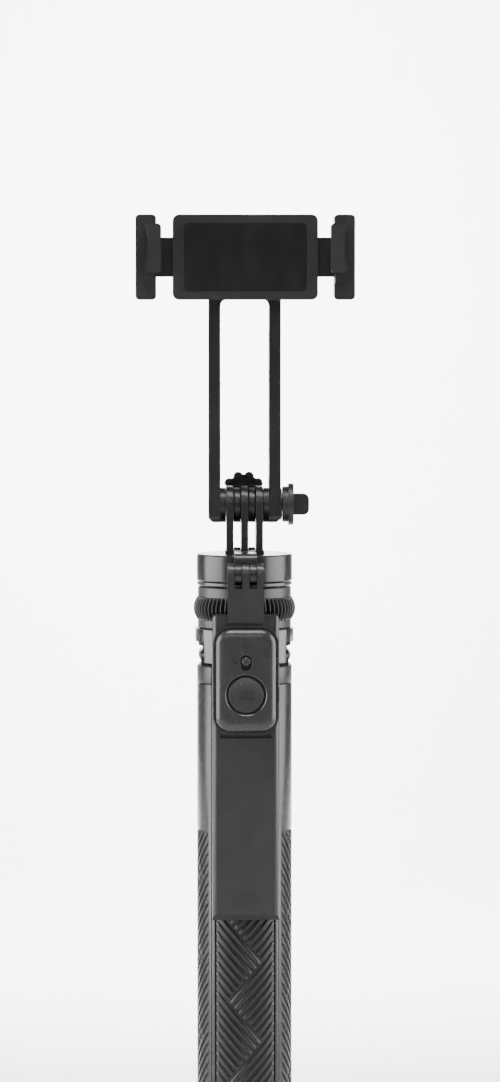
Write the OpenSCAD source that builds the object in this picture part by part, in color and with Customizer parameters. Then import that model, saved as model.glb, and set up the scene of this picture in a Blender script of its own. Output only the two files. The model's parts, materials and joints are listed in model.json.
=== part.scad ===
// Selfie stick with a four-legged grip, a telescopic mast, a tilting fork with a phone clamp,
// and a hinged arm that carries a detachable wireless remote.
// Frame: +Z up along the mast, front towards -Y, origin on the stick's axis at its foot.

/* [Grip] */
// Outer radius of the folded grip
grip_r = 19.55; // [19.2:0.05:19.9]
// Inner radius of the leg shells
leg_inner_r = 13.4; // [13.2:0.1:13.8]
// Gap between two folded legs
seam_gap = 0.4; // [0.3:0.1:0.6]
// Top of the rubber grip panels
panel_top = 186.7; // [150:0.1:220]
// Half angle that a grip panel covers on its leg
panel_angle = 39.4; // [30:0.1:41]
// How deep a grip panel sits in its leg shell
panel_depth = 1.5; // [1:0.1:2]
// Top of the leg shells, where the leg heads start
shell_top = 247; // [240:0.1:249]
// Height of the rubber feet
foot_h = 11.8; // [8:0.1:20]

/* [Leg hinges] */
// Distance of each leg hinge from the stick's axis
hinge_r = 16.4; // [16.2:0.05:16.6]
// Height of the leg hinges
hinge_z = 258.5; // [258.3:0.1:258.9]
// Radius of a leg's hinge knuckle
knuckle_r = 2.5; // [2.2:0.1:2.6]
// Radius of a leg's hinge pin
leg_pin_r = 1; // [0.8:0.1:1.2]

/* [Mast] */
// Outer radius of each mast tube, from the outermost in
tube_r = [12.5, 10.75, 9, 7.25, 5.5];
// Wall of the mast tubes
tube_wall = 0.8; // [0.6:0.1:0.9]

/* [Cap] */
// Radius of the round cap on top of the mast
cap_r = 19.7; // [19.5:0.05:20]
// Height of the cap's top face
cap_top = 300; // [299.8:0.1:300.2]
// Height of the cap
cap_h = 11; // [10.9:0.1:11.1]

/* [Tilt joint] */
// Height of the tilt axis
tilt_z = 320.2; // [319.5:0.1:321]
// Thickness of the bracket's middle prong
prong_t = 2.9; // [2.8:0.05:3]
// Radius of the prongs' round ends
prong_r = 7.5; // [7:0.1:7.6]
// Radius of the tilt screw
screw_r = 2.5; // [2.3:0.05:2.6]

/* [Fork] */
// Half of the fork's outer width
fork_outer = 14.8; // [14.4:0.1:15]
// Half of the gap between the fork's arms
fork_inner = 9.95; // [9.8:0.05:10.2]
// Height of the clamp's centre
clamp_z = 421.5; // [415:0.5:428]

/* [Phone clamp] */
// Width of the phone that the clamp is set to
phone_w = 71.6; // [68:0.1:76]
// Height of the clamp's housing
clamp_h = 34.6; // [32:0.1:36]
// Half length of the clamp's housing
clamp_half = 29.5; // [28.5:0.1:29.8]

/* [Remote arm] */
// Half width of the arm's plate
arm_half = 13.6; // [13.4:0.1:14]
// Lower end of the arm's plate
arm_bottom = 154.1; // [140:0.1:165]
// Height of the remote's centre
remote_z = 250; // [248:0.1:250.5]
// Width of the remote
remote_w = 24.6; // [24:0.1:25]
// Height of the remote
remote_h = 41.7; // [40:0.1:42]

/* [Hidden] */
$fn = 64;

// Directions that the four legs face, as angles about the stick's axis.
front_dir = -90;
left_dir = 180;
right_dir = 0;
back_dir = 90;

eps = 0.01;          // overshoot of a cutting tool
run_gap = 0.06;      // radial clearance of a pin or shaft that turns
slide_gap = 0.08;    // radial clearance of a tube that slides
face_gap = 0.3;      // gap between faces that pass each other

// Crown: the ring that the legs hang from.
crown_bottom = 255.5;
crown_flange_z = 264;
crown_top = 269.4;
crown_r = 20.2;
crown_waist_r = 19.1;
crown_panel_r = 18.8;
crown_panel_t = 1.6;
crown_sleeve_r = leg_inner_r + 0.1;
crown_bore_r = tube_r[0] + slide_gap;
slot_half = 8.3;     // half width of the opening for a leg's knuckle
slot_top = 262.4;
ear_angle = 34.8;    // where an ear ends, from its leg's direction
pin_half = 10.2;

// Leg heads.
head_top = 255.1;
head_groove = 0.4;
head_chamfer = 1.2;
spigot_r = 17.9;

// Twist lock.
collet_r = 14.5;
collet_top = 283.5;
collet_slit = 1.2;
collar_bottom = crown_top + face_gap;
collar_top = 286.8;
collar_r = 19.2;
collar_bore_r = collet_r + face_gap;
band_z = [273, 282.3];
band_seat_r = 18;
band_edge_r = 19.4;
band_r = 21;

// Mast.
flange_z = [287.1, 288.7];
flange_r = 19.6;
tube_bottom = [5, 10, 10.6, 11.2, 11.8];
tube_top = [288.7, 291, 293.3, 295.6, 299];
collar_h = 2;
bush_h = 6;
guide_z = [272, 280];

// Cap.
cap_bottom = cap_top - cap_h;
cap_edge = 0.8;
cap_recess_r = 14;
cap_recess_top = 296;
tube_socket_top = 299;

// Top bracket.
outer_prong = [4.6, 7.5];
bracket_base_t = 1.5;
bracket_half = 8;
tongue_half = 4.5;
tongue_t = 1.2;
arm_axis = [-24.7, 292.8];      // y and z of the remote arm's hinge
tongue_lug_r = 4.3;
tongue_step = 1.5;      // how far the tongue's front stands before the hinge axis
tongue_prong_in = 1.6;
bridge_y = [8.3, 10.2];         // the plate behind the prongs that carries the rear knob
bridge_z = [313.5, 327.5];
knob_z = 324;
knob_shaft_r = 2;

// Fork.
hub_r = 6.8;                    // stubs and spacers between the fork's arms
hub_depth = 6.8;
hub_flat = 7.3;                 // how far the hub's flat bottom lies below the tilt axis
fork_chamfer = 1.7;
stub_in = 7.7;
arm_depth = 5.6;
fork_boss_r = 6.5;
fork_boss_x = 15.3;
pad_y = [-6.2, -1.5];
gap_top = clamp_z - 17;
gap_corner = 3;
nut_af = 8;
nut_x = [-14, -10.8];
pivot_r = 3;

// Phone clamp.
housing_y = [-19, -9];
cover_split = -12.5;
tongue_y = [-15.5, -11.5];
tongue_z_half = 8;
tongue_inner = 8;
block_x = [36.2, 44.6];
hook_y = [-32, -19.3];
lip_y = -29.5;
hook_z = [-6.3, 13.5];          // heights from the clamp's middle
hook_foot_z = -10.6;
hook_foot_y = -25.5;
hook_in = 0.4;                  // distances from the phone's edge
hook_out = 5.4;
hook_waist = 4;
lip_reach = 1.6;
pad_z = [-5, 12];
phone_half = phone_w / 2;
spring_dz = 12.2;               // how far the springs lie above and below the clamp's middle
pad_t = 1.2;

// Remote arm.
arm_pin_r = 1.25;
arm_knuckle_r = 4.5;
arm_head_half = 7.4;
arm_head_z = 276.4;
arm_front = -27.9;
arm_back = -17.5;
arm_hollow_r = 21.5;            // hollow of the plate's back, which passes the twist lock's band
arm_edge = 2;
cradle_gap = 0.35;
cradle_rim = 1;
cradle_floor = -24.4;
cradle_front = -28.7;

// Remote.
remote_front = -32.5;
remote_split = -28.6;
remote_back = -24.7;
remote_corner = 6.2;
remote_wall = 1.3;
button_z = remote_z - 5.7;
button_r = 7.1;
switch_z = remote_z + 7.3;
board_y = [-29.6, -28.8];

// ---- shared shapes ----

function arc(cx, cy, r, from, to, steps) =
    [for (i = [0:steps]) let (a = from + (to - from) * i / steps) [cx + r * cos(a), cy + r * sin(a)]];

// Outline of a rectangle with round corners, centred on the origin.
function rounded_rect(w, h, r, steps = 6) = concat(
    arc(w / 2 - r, h / 2 - r, r, 0, 90, steps), arc(r - w / 2, h / 2 - r, r, 90, 180, steps),
    arc(r - w / 2, r - h / 2, r, 180, 270, steps), arc(w / 2 - r, r - h / 2, r, 270, 360, steps));

// A flat outline in X and Z, made solid between two depths.
module facing_front(y, z = 0) {
    translate([0, y[1], z]) rotate([90, 0, 0]) linear_extrude(y[1] - y[0]) children();
}

// A side outline in Y and Z, made solid between two places along X.
module across(x) {
    translate([x[0], 0, 0]) rotate([90, 0, 90]) linear_extrude(x[1] - x[0]) children();
}

module rod_x(r, x, y, z) {
    translate([x[0], y, z]) rotate([0, 90, 0]) cylinder(r = r, h = x[1] - x[0]);
}

module rod_y(r, y, x, z) {
    translate([x, y[1], z]) rotate([90, 0, 0]) cylinder(r = r, h = y[1] - y[0]);
}

module ring(r_out, r_in, z) {
    difference() {
        translate([0, 0, z[0]]) cylinder(r = r_out, h = z[1] - z[0]);
        translate([0, 0, z[0] - eps]) cylinder(r = r_in, h = z[1] - z[0] + 2 * eps);
    }
}

module box(x, y, z) {
    translate([x[0], y[0], z[0]]) cube([x[1] - x[0], y[1] - y[0], z[1] - z[0]]);
}

// The quarter of space that belongs to the leg facing +X, less half the seam on each side.
module quarter(z) {
    translate([seam_gap / sqrt(2), 0, z[0]]) rotate(-45) cube([40, 40, z[1] - z[0]]);
}

// A wedge about +X, from the axis outwards.
module wedge(half_angle, z, reach = 40) {
    translate([0, 0, z[0]]) linear_extrude(z[1] - z[0])
        polygon([[0, 0], [reach, -reach * tan(half_angle)], [reach, reach * tan(half_angle)]]);
}

module four_ways() {
    for (dir = [front_dir, right_dir, back_dir, left_dir]) rotate(dir) children();
}

// ---- crown, lock and hinge pins ----

module crown_body() {
    difference() {
        union() {
            ring(crown_r, crown_bore_r, [crown_flange_z, crown_top]);
            ring(crown_waist_r, crown_bore_r, [slot_top, crown_flange_z]);
            ring(crown_sleeve_r, crown_bore_r, [crown_bottom, slot_top]);
            difference() {
                ring(crown_waist_r, crown_sleeve_r - eps, [crown_bottom, slot_top]);
                for (dir = [front_dir, right_dir, back_dir, left_dir]) rotate(dir)
                    box([crown_sleeve_r - 4, 30], [-slot_half, slot_half], [crown_bottom - 1, slot_top]);
            }
        }
        four_ways() rotate([90, 0, 0]) translate([hinge_r, hinge_z, -pin_half])
            cylinder(r = leg_pin_r, h = 2 * pin_half);
        four_ways() rotate(45) intersection() {
            ring(crown_waist_r + 1, crown_panel_r - crown_panel_t, [crown_bottom - eps, crown_flange_z]);
            wedge(45 - ear_angle, [crown_bottom - eps, crown_flange_z]);
        }
    }
}

module crown() {
    color("#26272a") crown_body();
}

module crown_panels() {
    color("#9a9b9e") four_ways() rotate(45) intersection() {
        ring(crown_panel_r, crown_panel_r - crown_panel_t, [crown_bottom, crown_flange_z]);
        wedge(45 - ear_angle, [crown_bottom, crown_flange_z]);
    }
}

module lock_collet() {
    color("#1c1d1f") difference() {
        ring(collet_r, crown_bore_r, [crown_top, collet_top]);
        for (turn = [0:45:135]) rotate(turn)
            box([-20, 20], [-collet_slit / 2, collet_slit / 2], [crown_top + 5, collet_top + 1]);
    }
}

module leg_hinge_pins() {
    color("#b9bbbe") four_ways() rotate([90, 0, 0]) translate([hinge_r, hinge_z, -pin_half])
        cylinder(r = leg_pin_r, h = 2 * pin_half);
}

module lock_collar() {
    color("#2b2c2f") union() {
        ring(collar_r, collar_bore_r, [collar_bottom, band_z[0]]);
        ring(band_seat_r, collar_bore_r, [band_z[0] - eps, band_z[1] + eps]);
        ring(collar_r, collar_bore_r, [band_z[1], collar_top]);
    }
}

module lock_grip_band() {
    rise = band_r - band_edge_r;
    half = (band_z[1] - band_z[0]) / 2;
    bulge_r = (half * half + rise * rise) / (2 * rise);
    end = asin(half / bulge_r);
    color("#323336") rotate_extrude() polygon(concat(
        [[band_seat_r, band_z[0]]],
        arc(band_r - bulge_r, band_z[0] + half, bulge_r, -end, end, 8),
        [[band_seat_r, band_z[1]]]));
}

// ---- legs ----

module leg_head(dir) {
    color("#2b2c2f") rotate(dir) difference() {
        union() {
            intersection() {
                difference() {
                    union() {
                        translate([0, 0, shell_top + head_groove / 2])
                            cylinder(r = grip_r, h = head_top - head_chamfer - shell_top - head_groove / 2);
                        translate([0, 0, head_top - head_chamfer])
                            cylinder(r1 = grip_r, r2 = grip_r - head_chamfer, h = head_chamfer);
                        translate([0, 0, shell_top - 12]) cylinder(r = spigot_r, h = 13);
                    }
                    translate([0, 0, shell_top - 13]) cylinder(r = leg_inner_r, h = 30);
                }
                quarter([shell_top - 12, head_top]);
            }
            intersection() {
                union() {
                    rotate([90, 0, 0]) translate([hinge_r, hinge_z, face_gap - slot_half])
                        cylinder(r = knuckle_r, h = 2 * (slot_half - face_gap));
                    box([hinge_r - knuckle_r, hinge_r + 1.6], [face_gap - slot_half, slot_half - face_gap],
                        [head_top - 2, hinge_z]);
                }
                translate([0, 0, head_top - 2]) cylinder(r = grip_r, h = 12);
            }
        }
        rotate([90, 0, 0]) translate([hinge_r, hinge_z, -20]) cylinder(r = leg_pin_r + run_gap, h = 40);
    }
}

module leg_shell(dir) {
    rib_pitch = 38;
    color("#3a3b3e") rotate(dir) difference() {
        intersection() {
            ring(grip_r, leg_inner_r, [foot_h, shell_top - head_groove / 2]);
            quarter([foot_h, shell_top]);
        }
        intersection() {
            ring(grip_r + 1, grip_r - panel_depth, [foot_h - 1, panel_top]);
            wedge(panel_angle, [foot_h - 1, panel_top]);
        }
        translate([0, 0, shell_top - 12 - eps]) cylinder(r = spigot_r, h = 20);
        for (z = [foot_h + 4:rib_pitch:shell_top - rib_pitch]) intersection() {
            ring(grip_r - panel_depth - 1.6, leg_inner_r - 1, [z, z + rib_pitch - 2]);
            wedge(36, [z, z + rib_pitch - 2]);
        }
    }
}

module leg_grip(dir) {
    color("#1d1e20") rotate(dir) intersection() {
        ring(grip_r, grip_r - panel_depth, [foot_h, panel_top]);
        wedge(panel_angle, [foot_h, panel_top]);
    }
}

module leg_foot(dir) {
    toe = 1.5;
    color("#151517") rotate(dir) intersection() {
        difference() {
            union() {
                cylinder(r1 = grip_r - toe, r2 = grip_r, h = toe);
                translate([0, 0, toe]) cylinder(r = grip_r, h = foot_h - toe);
            }
            translate([0, 0, -eps]) cylinder(r = leg_inner_r, h = foot_h + 1);
        }
        quarter([0, foot_h]);
    }
}

// ---- mast ----

module mast_tube(i) {
    color("#a9abae") ring(tube_r[i], tube_r[i] - tube_wall, [tube_bottom[i], tube_top[i]]);
}

module mast_flange_1() {
    color("#5b5c5f") ring(flange_r, tube_r[0], flange_z);
}

module mast_tail_plug() {
    color("#1d1e20") union() {
        cylinder(r = tube_r[0], h = tube_bottom[0]);
        translate([0, 0, tube_bottom[0] - eps]) cylinder(r = tube_r[0] - tube_wall, h = 4);
    }
}

// The lower bush that rides inside the tube outside this one.
module mast_bush(i) {
    color("#e6e6e2") ring(tube_r[i - 1] - tube_wall - slide_gap, tube_r[i],
        [tube_bottom[i], tube_bottom[i] + bush_h]);
}

// The guide inside this tube's top end, for the tube inside this one.
module mast_guide(i) {
    color("#e6e6e2") ring(tube_r[i] - tube_wall, tube_r[i + 1] + slide_gap, guide_z);
}

module mast_collar(i) {
    color("#1d1e20") ring(tube_r[i] + 1.8, tube_r[i], [tube_top[i] - collar_h, tube_top[i]]);
}

module mast_bushes(i) {
    mast_bush(i);
    mast_guide(i);
    mast_collar(i);
}

// ---- head ----

module cap() {
    color("#333437") difference() {
        rotate_extrude() polygon(concat(
            [[0, cap_bottom]],
            arc(cap_r - cap_edge / 2, cap_bottom + cap_edge / 2, cap_edge / 2, -90, 0, 3),
            arc(cap_r - cap_edge, cap_top - cap_edge, cap_edge, 0, 90, 5),
            [[0, cap_top]]));
        translate([0, 0, cap_bottom - eps]) cylinder(r = cap_recess_r, h = cap_recess_top - cap_bottom);
        translate([0, 0, cap_bottom]) cylinder(r = tube_r[4], h = tube_socket_top - cap_bottom);
    }
}

module prong(x) {
    difference() {
        across(x) union() {
            translate([0, tilt_z]) circle(r = prong_r);
            translate([-prong_r, cap_top]) square([2 * prong_r, tilt_z - cap_top]);
        }
        rod_x(screw_r + run_gap, [x[0] - 1, x[1] + 1], 0, tilt_z);
    }
}

// The tongue that runs forward over the cap's rim and down to the remote arm's hinge.
module tongue() {
    drop_y = arm_axis[0] - tongue_step;
    difference() {
        across([-tongue_half, tongue_half]) union() {
            translate(arm_axis) circle(r = tongue_lug_r);
            polygon(concat(
                [[-prong_r, cap_top], [-prong_r, cap_top + tongue_t]],
                arc(drop_y + 3, cap_top + tongue_t - 3, 3, 90, 180, 6),
                [[drop_y, arm_axis[1]], [arm_axis[0] + tongue_lug_r, arm_axis[1]],
                 [arm_axis[0] + tongue_lug_r, cap_top]]));
        }
        box([-tongue_prong_in, tongue_prong_in], [-40, -cap_r],
            [arm_axis[1] - 10, arm_axis[1] + arm_knuckle_r + run_gap]);
        rod_x(arm_pin_r + run_gap, [-20, 20], arm_axis[0], arm_axis[1]);
    }
}

// The plate behind the hub that joins the outer prongs and carries the rear knob.
module knob_bridge() {
    web_y = 4;
    difference() {
        union() {
            box([-outer_prong[1], outer_prong[1]], bridge_y, bridge_z);
            box(outer_prong, [web_y, bridge_y[1]], bridge_z);
            box([-outer_prong[1], -outer_prong[0]], [web_y, bridge_y[1]], bridge_z);
        }
        rod_y(knob_shaft_r + run_gap, [bridge_y[0] - 1, bridge_y[1] + 1], 0, knob_z);
    }
}

module top_bracket() {
    color("#4a4b4e") difference() {
        union() {
            box([-bracket_half, bracket_half], [-prong_r, prong_r], [cap_top, cap_top + bracket_base_t]);
            prong([-prong_t / 2, prong_t / 2]);
            prong(outer_prong);
            prong([-outer_prong[1], -outer_prong[0]]);
            tongue();
            knob_bridge();
        }
        for (x = [-3, 3]) translate([x, 0, cap_top - eps]) cylinder(r = 1, h = 3);
    }
}

module bracket_screws() {
    color("#8f9194") for (x = [-3, 3]) translate([x, 0, cap_top]) {
        cylinder(r = 0.95, h = bracket_base_t);
        translate([0, 0, bracket_base_t]) cylinder(r = 1.35, h = 1);
    }
}

module rear_knob() {
    lobes = 10;
    lobe_r = 1.9;
    lobe_ring_r = 7.4;
    body_y = [12, 16.5];
    disc_r = 8;
    disc_y = [bridge_y[1] + face_gap, body_y[0]];
    recess_r = [4, 7];
    recess_y = [disc_y[0] - 1, disc_y[0] + 0.6];
    color("#1f2022") difference() {
        union() {
            rod_y(knob_shaft_r, [bridge_y[0] + 0.1, body_y[0] + 1], 0, knob_z);
            rod_y(disc_r, disc_y, 0, knob_z);
            rod_y(lobe_ring_r, body_y, 0, knob_z);
            for (i = [0:lobes - 1]) rod_y(lobe_r, body_y,
                lobe_ring_r * cos(i * 360 / lobes), knob_z + lobe_ring_r * sin(i * 360 / lobes));
        }
        difference() {
            rod_y(recess_r[1], recess_y, 0, knob_z);
            rod_y(recess_r[0], [recess_y[0] - 1, recess_y[1] + 1], 0, knob_z);
        }
    }
}

// ---- remote arm ----

module arm_hinge_pin() {
    color("#a6a8ab") rod_x(arm_pin_r, [-7.3, 7.3], arm_axis[0], arm_axis[1]);
}

module arm_head() {
    slot_w = outer_prong[0] - prong_t / 2;
    slot_mid = (prong_t + slot_w) / 2;
    head_back = -22.4;
    slot_bottom = arm_axis[1] - arm_knuckle_r - 1;
    difference() {
        across([-arm_head_half, arm_head_half]) union() {
            translate(arm_axis) circle(r = arm_knuckle_r);
            polygon([
                [arm_axis[0] - arm_knuckle_r, arm_axis[1]], [arm_axis[0] - arm_knuckle_r, arm_head_z - 3],
                [head_back, arm_head_z - 3], [head_back, arm_axis[1] - arm_knuckle_r + 1],
                [arm_axis[0] + arm_knuckle_r, arm_axis[1]]]);
        }
        for (side = [-1, 1])
            translate([side * slot_mid - slot_w / 2, arm_axis[0] - 20, slot_bottom])
                cube([slot_w, 40, 20]);
        rod_x(arm_pin_r + run_gap, [-20, 20], arm_axis[0], arm_axis[1]);
    }
}

// Rows of small raised dots, the top row the shortest.
module plate_dots() {
    pitch = 2.43;
    row_step = 1.8;
    top_row_z = 162.6;
    dot_r = 0.45;
    dot_h = 0.35;
    for (row = [0:2], i = [0:2 + row]) rod_y(dot_r, [arm_front - dot_h, arm_front + 1],
        (i - 1 - row / 2) * pitch, top_row_z - row_step * row);
}

module arm_plate() {
    tail_h = 2.6;
    tail_chamfer = 3.4;
    rim_trim = 0.8;
    side_notch_z = [241, 247];
    side_notch_t = 0.8;
    scoop = [21, 1.5, 1.2];
    top_corner = 2;
    rim_bottom = remote_z - remote_h / 2 - cradle_gap - cradle_rim;
    color("#3e3f42") difference() {
        union() {
            arm_head();
            difference() {
                intersection() {
                    across([-arm_half, arm_half]) polygon([
                        [arm_front, arm_bottom], [arm_front + tail_chamfer, arm_bottom - tail_h],
                        [arm_back, arm_bottom - tail_h], [arm_back, arm_head_z], [arm_front, arm_head_z]]);
                    facing_front([arm_front - 1, arm_back + 1]) polygon(concat(
                        [[-arm_half, arm_bottom - tail_h - 1], [arm_half, arm_bottom - tail_h - 1]],
                        arc(arm_half - top_corner, arm_head_z - top_corner, top_corner, 0, 90, 4),
                        arc(top_corner - arm_half, arm_head_z - top_corner, top_corner, 90, 180, 4)));
                }
                for (side = [-1, 1]) difference() {
                    box([side * arm_half - arm_edge, side * arm_half + arm_edge],
                        [arm_front - 1, arm_front + arm_edge], [100, 300]);
                    translate([side * (arm_half - arm_edge), arm_front + arm_edge, 90])
                        cylinder(r = arm_edge, h = 220);
                }
            }
            facing_front([cradle_front, arm_front + 1], remote_z) polygon(rounded_rect(
                remote_w + 2 * (cradle_gap + cradle_rim) - rim_trim,
                remote_h + 2 * (cradle_gap + cradle_rim), remote_corner + cradle_rim));
            plate_dots();
        }
        facing_front([cradle_front - 1, cradle_floor], remote_z) polygon(rounded_rect(
            remote_w + 2 * cradle_gap, remote_h + 2 * cradle_gap, remote_corner + cradle_gap));
        translate([0, 0, 100]) cylinder(r = arm_hollow_r, h = 200);
        box([arm_half - side_notch_t, arm_half + 1], [arm_front + 1, cradle_floor + 0.4], side_notch_z);
        facing_front([arm_front - 1, arm_front + scoop[2]], rim_bottom - scoop[1] / 2)
            translate([-scoop[0] / 2, -scoop[1] / 2]) square([scoop[0], scoop[1]]);
    }
}

module arm_clip() {
    color("#b4b6b9") facing_front([cradle_floor - 0.28, cradle_floor], remote_z)
        polygon(rounded_rect(8, 16, 1.5));
}

// ---- remote ----

module remote_outline(inset = 0) {
    polygon(rounded_rect(remote_w - 2 * inset, remote_h - 2 * inset, remote_corner - inset));
}

module remote_front_shell() {
    steps = 4;
    pillow = 2.4;
    color("#404144") difference() {
        union() {
            for (i = [0:steps])
                facing_front([remote_front + pillow * (1 - sin(90 * i / steps)), remote_split], remote_z)
                    remote_outline(pillow * 0.8 * (1 - cos(90 * i / steps)));
        }
        facing_front([remote_front + remote_wall, remote_split + 1], remote_z)
            remote_outline(remote_wall + 0.9);
        rod_y(button_r + 0.25, [remote_front - 1, remote_front + 3], 0, button_z);
        rod_y(button_r + 1.1, [remote_front - 1, remote_front + 0.5], 0, button_z);
        facing_front([remote_front - 1, remote_front + 0.8], switch_z) polygon(rounded_rect(4.7, 6.3, 2.3));
        box([-0.9, 0.9], [remote_front, remote_front + 3], [switch_z - 2, switch_z + 2]);
        rod_y(0.5, [remote_front - 1, remote_front + 3], -4.3, switch_z);
    }
}

module remote_back_shell() {
    floor_t = 0.7;
    color("#2e2f32") difference() {
        facing_front([remote_split, remote_back], remote_z) remote_outline();
        facing_front([remote_split - 1, remote_back - floor_t], remote_z) remote_outline(remote_wall);
    }
}

module remote_board() {
    color("#1f5a36") facing_front(board_y, remote_z) polygon(rounded_rect(19.4, 34, 3));
    color("#55575a") rod_y(3, [-29.8, board_y[0]], 0, button_z);
    color("#55575a") box([-2.5, 2.5], [-30.5, board_y[0]], [switch_z - 3.2, switch_z + 3.2]);
}

module remote_battery() {
    color("#c3c5c8") rod_y(8, [-28.7, -25.5], 0, remote_z - 4);
}

module remote_led() {
    color("#8fb6ff") rod_y(0.5, [remote_front, board_y[0]], -4.3, switch_z);
}

module shutter_button() {
    color("#46474a") union() {
        rod_y(button_r, [remote_front + 0.1, remote_front + 1.3], 0, button_z);
        rod_y(2, [remote_front + 1.2, remote_front + 2], 0, button_z);
    }
}

module power_switch() {
    knob_up = 0.7;
    color("#5a5b5e") union() {
        rod_y(1.75, [remote_front - 0.2, remote_front + 0.7], 0, switch_z + knob_up);
        box([-0.6, 0.6], [remote_front + 0.6, remote_front + 1.9], [switch_z + 0.1, switch_z + 1.3]);
    }
}

// ---- fork ----

module fork_front_outline() {
    difference() {
        union() {
            polygon([
                [-fork_outer + fork_chamfer, tilt_z - hub_flat],
                [fork_outer - fork_chamfer, tilt_z - hub_flat],
                [fork_outer, tilt_z - hub_flat + fork_chamfer], [fork_outer, clamp_z],
                [-fork_outer, clamp_z], [-fork_outer, tilt_z - hub_flat + fork_chamfer]]);
            translate([0, clamp_z]) circle(r = fork_outer);
        }
        polygon(concat(
            [[-fork_inner, tilt_z - hub_flat - 1], [fork_inner, tilt_z - hub_flat - 1]],
            arc(fork_inner - gap_corner, gap_top - gap_corner, gap_corner, 0, 90, 6),
            arc(gap_corner - fork_inner, gap_top - gap_corner, gap_corner, 90, 180, 6)));
    }
}

module fork_side_outline() {
    corner = 2.5;
    taper_z = [tilt_z, tilt_z + 36];
    polygon(concat(
        arc(hub_depth - corner, tilt_z - hub_flat + corner, corner, -90, 0, 4),
        [[hub_depth, taper_z[0]], [arm_depth, taper_z[1]], [arm_depth, clamp_z - 36],
         [pad_y[1], clamp_z - 14], [pad_y[1], clamp_z + 20], [pad_y[0], clamp_z + 20],
         [pad_y[0], clamp_z - 22], [-arm_depth, clamp_z - 36], [-arm_depth, taper_z[1]],
         [-hub_depth, taper_z[0]]],
        arc(corner - hub_depth, tilt_z - hub_flat + corner, corner, 180, 270, 4)));
}

// A round with a flat foot about the tilt axis, as the stubs and the spacers have.
module hub_outline() {
    foot_half = 3;
    translate([0, tilt_z]) circle(r = hub_r);
    translate([-foot_half, tilt_z - hub_flat]) square([2 * foot_half, hub_flat]);
}

module fork() {
    nut_r = nut_af / 2 / cos(30);
    color("#232426") difference() {
        union() {
            intersection() {
                facing_front([-12, 12]) fork_front_outline();
                across([-20, 20]) fork_side_outline();
            }
            for (x = [[stub_in, fork_inner + 1], [-fork_inner - 1, -stub_in]]) across(x) hub_outline();
            rod_x(fork_boss_r, [fork_outer - 1, fork_boss_x], 0, tilt_z);
        }
        rod_x(screw_r + run_gap, [-20, 20], 0, tilt_z);
        translate([-fork_outer - 1, 0, tilt_z]) rotate([0, 90, 0])
            cylinder(r = nut_r, h = fork_outer + 1 + nut_x[1], $fn = 6);
        rod_y(pivot_r + run_gap, [-20, 20], 0, clamp_z);
    }
}

module tilt_nut() {
    nut_r = nut_af / 2 / cos(30);
    color("#b4b6b9") difference() {
        translate([nut_x[0], 0, tilt_z]) rotate([0, 90, 0])
            cylinder(r = nut_r, h = nut_x[1] - nut_x[0], $fn = 6);
        rod_x(screw_r + run_gap, [-20, 0], 0, tilt_z);
    }
}

module hub_spacers() {
    color("#2a2b2e") for (x = [[-4.4, -1.65], [1.65, 4.4]]) difference() {
        across(x) hub_outline();
        rod_x(screw_r + run_gap, [-20, 20], 0, tilt_z);
    }
}

module thumb_screw() {
    screw_end = -13.6;
    washer_r = 7.3;
    washer_x = [fork_boss_x + face_gap, 18.1];
    disc_r = 8.6;
    disc_x = [18, 20.1];
    wing_end = 26.6;
    wing_half = 4.35;
    wing_t = 3.6;
    wing_corner = 2.4;
    color("#232426") union() {
        rod_x(screw_r, [screw_end, washer_x[0] + 1], 0, tilt_z);
        rod_x(washer_r, washer_x, 0, tilt_z);
        rod_x(disc_r, disc_x, 0, tilt_z);
        facing_front([-wing_t / 2, wing_t / 2], tilt_z) polygon(concat(
            [[disc_x[1] - 1, wing_half], [disc_x[1] - 1, -wing_half]],
            arc(wing_end - wing_corner, wing_corner - wing_half, wing_corner, -90, 0, 5),
            arc(wing_end - wing_corner, wing_half - wing_corner, wing_corner, 0, 90, 5)));
    }
}

// ---- phone clamp ----

module clamp_outline(inset = 0) {
    polygon(rounded_rect(2 * (clamp_half - inset), clamp_h - 2 * inset, 2.5 - inset / 2, 4));
}

// Outline of the rubber pad that the phone's back rests on.
module rest_outline() {
    polygon(rounded_rect(50, 28, 2));
}

// The guide that a jaw's tongue slides in, open at the housing's ends.
module tongue_guide() {
    box([-clamp_half - 1, clamp_half + 1], [tongue_y[0] - face_gap, tongue_y[1] + face_gap],
        [clamp_z - tongue_z_half - face_gap, clamp_z + tongue_z_half + face_gap]);
}

module spring_wells() {
    for (z = [clamp_z - spring_dz, clamp_z + spring_dz])
        box([-24, 24], [-16.2, -10.8], [z - 2.6, z + 2.6]);
}

module clamp_front_cover() {
    color("#222325") difference() {
        facing_front([housing_y[0], cover_split], clamp_z) clamp_outline();
        tongue_guide();
        spring_wells();
        facing_front([housing_y[0] - 1, housing_y[0] + 1], clamp_z) rest_outline();
    }
}

module clamp_back_cover() {
    color("#1d1e20") difference() {
        facing_front([cover_split, housing_y[1]], clamp_z) clamp_outline();
        tongue_guide();
        spring_wells();
    }
}

module clamp_rubber_pad() {
    color("#141416") facing_front([housing_y[0], housing_y[0] + 1], clamp_z) rest_outline();
}

// Swivel disc and shaft, with the washer and nut behind the fork's pad.
module clamp_pivot() {
    color("#3a3b3e") union() {
        rod_y(11, [pad_y[0] - face_gap - 2.5, pad_y[0] - face_gap], 0, clamp_z);
        rod_y(pivot_r, [pad_y[0] - 1, 3.2], 0, clamp_z);
        rod_y(5.5, [pad_y[1] + face_gap, pad_y[1] + face_gap + 0.8], 0, clamp_z);
        translate([0, 2.4, clamp_z]) rotate([90, 0, 0]) cylinder(r = 4.6, h = 3, $fn = 6);
    }
}

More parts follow.
